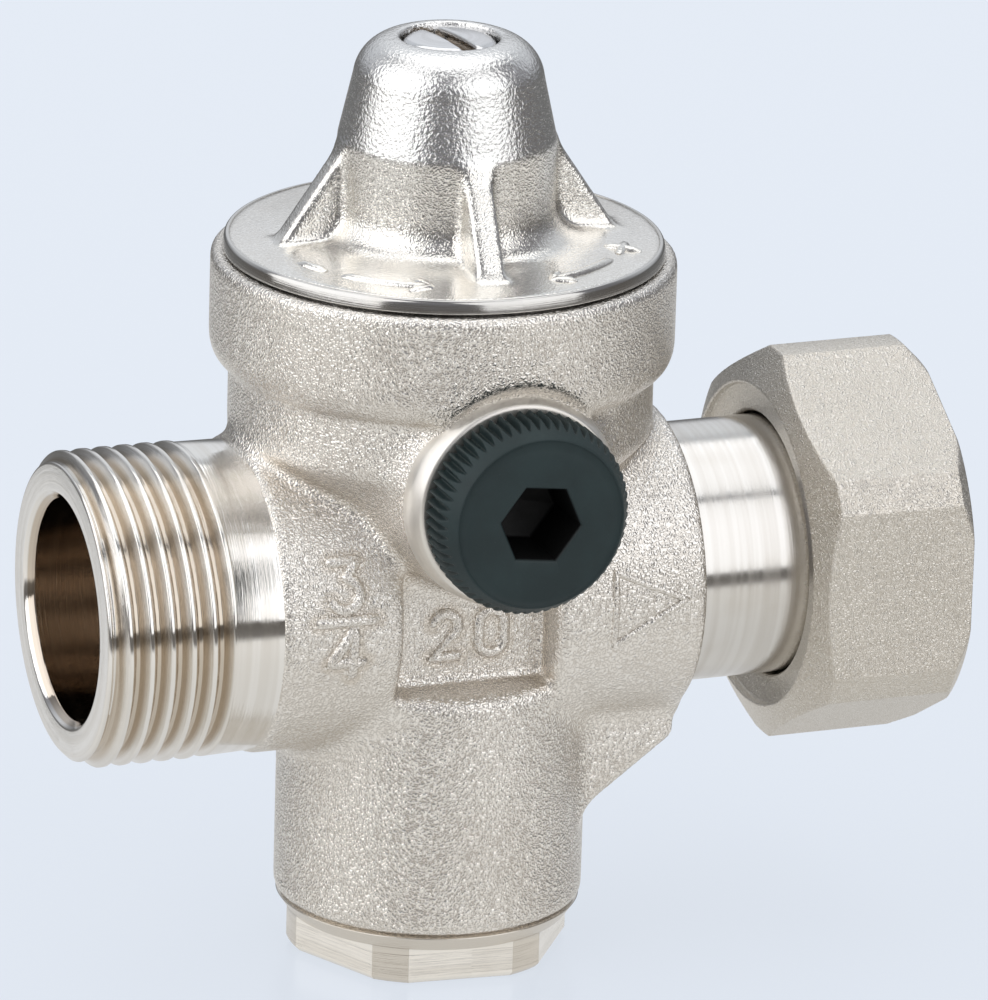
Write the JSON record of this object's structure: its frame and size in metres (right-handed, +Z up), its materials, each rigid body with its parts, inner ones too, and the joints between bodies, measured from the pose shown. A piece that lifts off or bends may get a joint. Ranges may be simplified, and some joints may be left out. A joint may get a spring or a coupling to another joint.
{
  "type": "pressure reducing valve",
  "caption": "Piston pressure reducing valve in nickelled brass: threaded inlet, swivel nut outlet, domed bonnet with adjusting screw, front gauge plug and hexagon bottom plug.",
  "frame": {"origin": "centre of the bottom plug's underside, on the axis of the bonnet and the stem", "axes": "+Z up along the stem, +X along the pipe to the outlet nut, the gauge port looks to -Y"},
  "size_m": [0.0753, 0.0433, 0.0792],
  "materials": {
    "cast_nickel": "shot-blasted nickel-plated brass casting, fine grain, satin",
    "bright_nickel": "nickel-plated brass casting, soft gloss with a light orange-peel",
    "turned_nickel": "turned and nickel-plated brass with fine machining lines",
    "turned_brass": "turned bare brass",
    "plated_steel": "bright plated steel",
    "spring_steel": "oiled spring wire",
    "dark_plastic": "matt moulded dark green-grey plastic",
    "black_rubber": "matt black sealing rubber",
    "white_slick": "white low-friction plastic",
    "red_fibre": "matt pressed fibre gasket"
  },
  "bodies": {
    "valve": {"valve_body": "cast_nickel", "seat_ring": "plated_steel", "seat_oring": "black_rubber", "bonnet": "bright_nickel", "bonnet_gasket": "black_rubber", "setting_spring": "spring_steel", "bottom_plug": "turned_nickel", "bottom_plug_oring": "black_rubber", "guide_oring": "black_rubber", "tailpiece": "turned_nickel", "tailpiece_oring": "black_rubber", "nut_gasket": "red_fibre"},
    "piston_group": {"piston": "turned_brass", "piston_oring": "black_rubber", "piston_guide_ring": "white_slick", "valve_stem": "turned_brass", "stem_nut": "plated_steel", "seal_disc": "black_rubber", "disc_holder": "turned_brass", "disc_nut": "plated_steel"},
    "spring_plate": {"spring_plate": "plated_steel"},
    "adjusting_screw": {"adjusting_screw": "plated_steel"},
    "swivel_nut": {"swivel_nut": "cast_nickel"},
    "gauge_seal": {"gauge_plug_oring": "black_rubber"},
    "gauge_plug": {"gauge_plug": "dark_plastic"}
  },
  "joints": [
    {"name": "spring_plate_slide", "type": "slide", "parent": "valve", "child": "spring_plate", "axis": [0, 0, 1], "range_m": [-0.00438, 0.00125], "deforming": ["setting_spring"]},
    {"name": "adjusting_screw_turn", "type": "hinge", "parent": "spring_plate", "child": "adjusting_screw", "pos_m": [0, 0, 0.0763], "axis": [0, 0, 1], "range_deg": [-1261, 361]},
    {"name": "piston_lift", "type": "slide", "parent": "valve", "child": "piston_group", "axis": [0, 0, 1], "range_m": [0, 0.0025], "stiffness_N_per_m": 3000, "springref_m": -0.003, "deforming": ["setting_spring"]},
    {"name": "swivel_nut_spin", "type": "hinge", "parent": "valve", "child": "swivel_nut", "pos_m": [0.035, 0, 0.0323], "axis": [1, 0, 0], "continuous": true},
    {"name": "gauge_plug_travel", "type": "slide", "parent": "valve", "child": "gauge_seal", "axis": [0, -1, 0], "range_m": [0, 0.006]},
    {"name": "gauge_plug_turn", "type": "hinge", "parent": "gauge_seal", "child": "gauge_plug", "pos_m": [0, -0.02, 0.0445], "axis": [0, -1, 0], "range_deg": [0, 1617]}
  ],
  "couplings": [
    {"joint": "adjusting_screw_turn", "follows": "spring_plate_slide", "rad_per_m": 5026.5},
    {"joint": "gauge_plug_turn", "follows": "gauge_plug_travel", "rad_per_m": 4699.5}
  ]
}
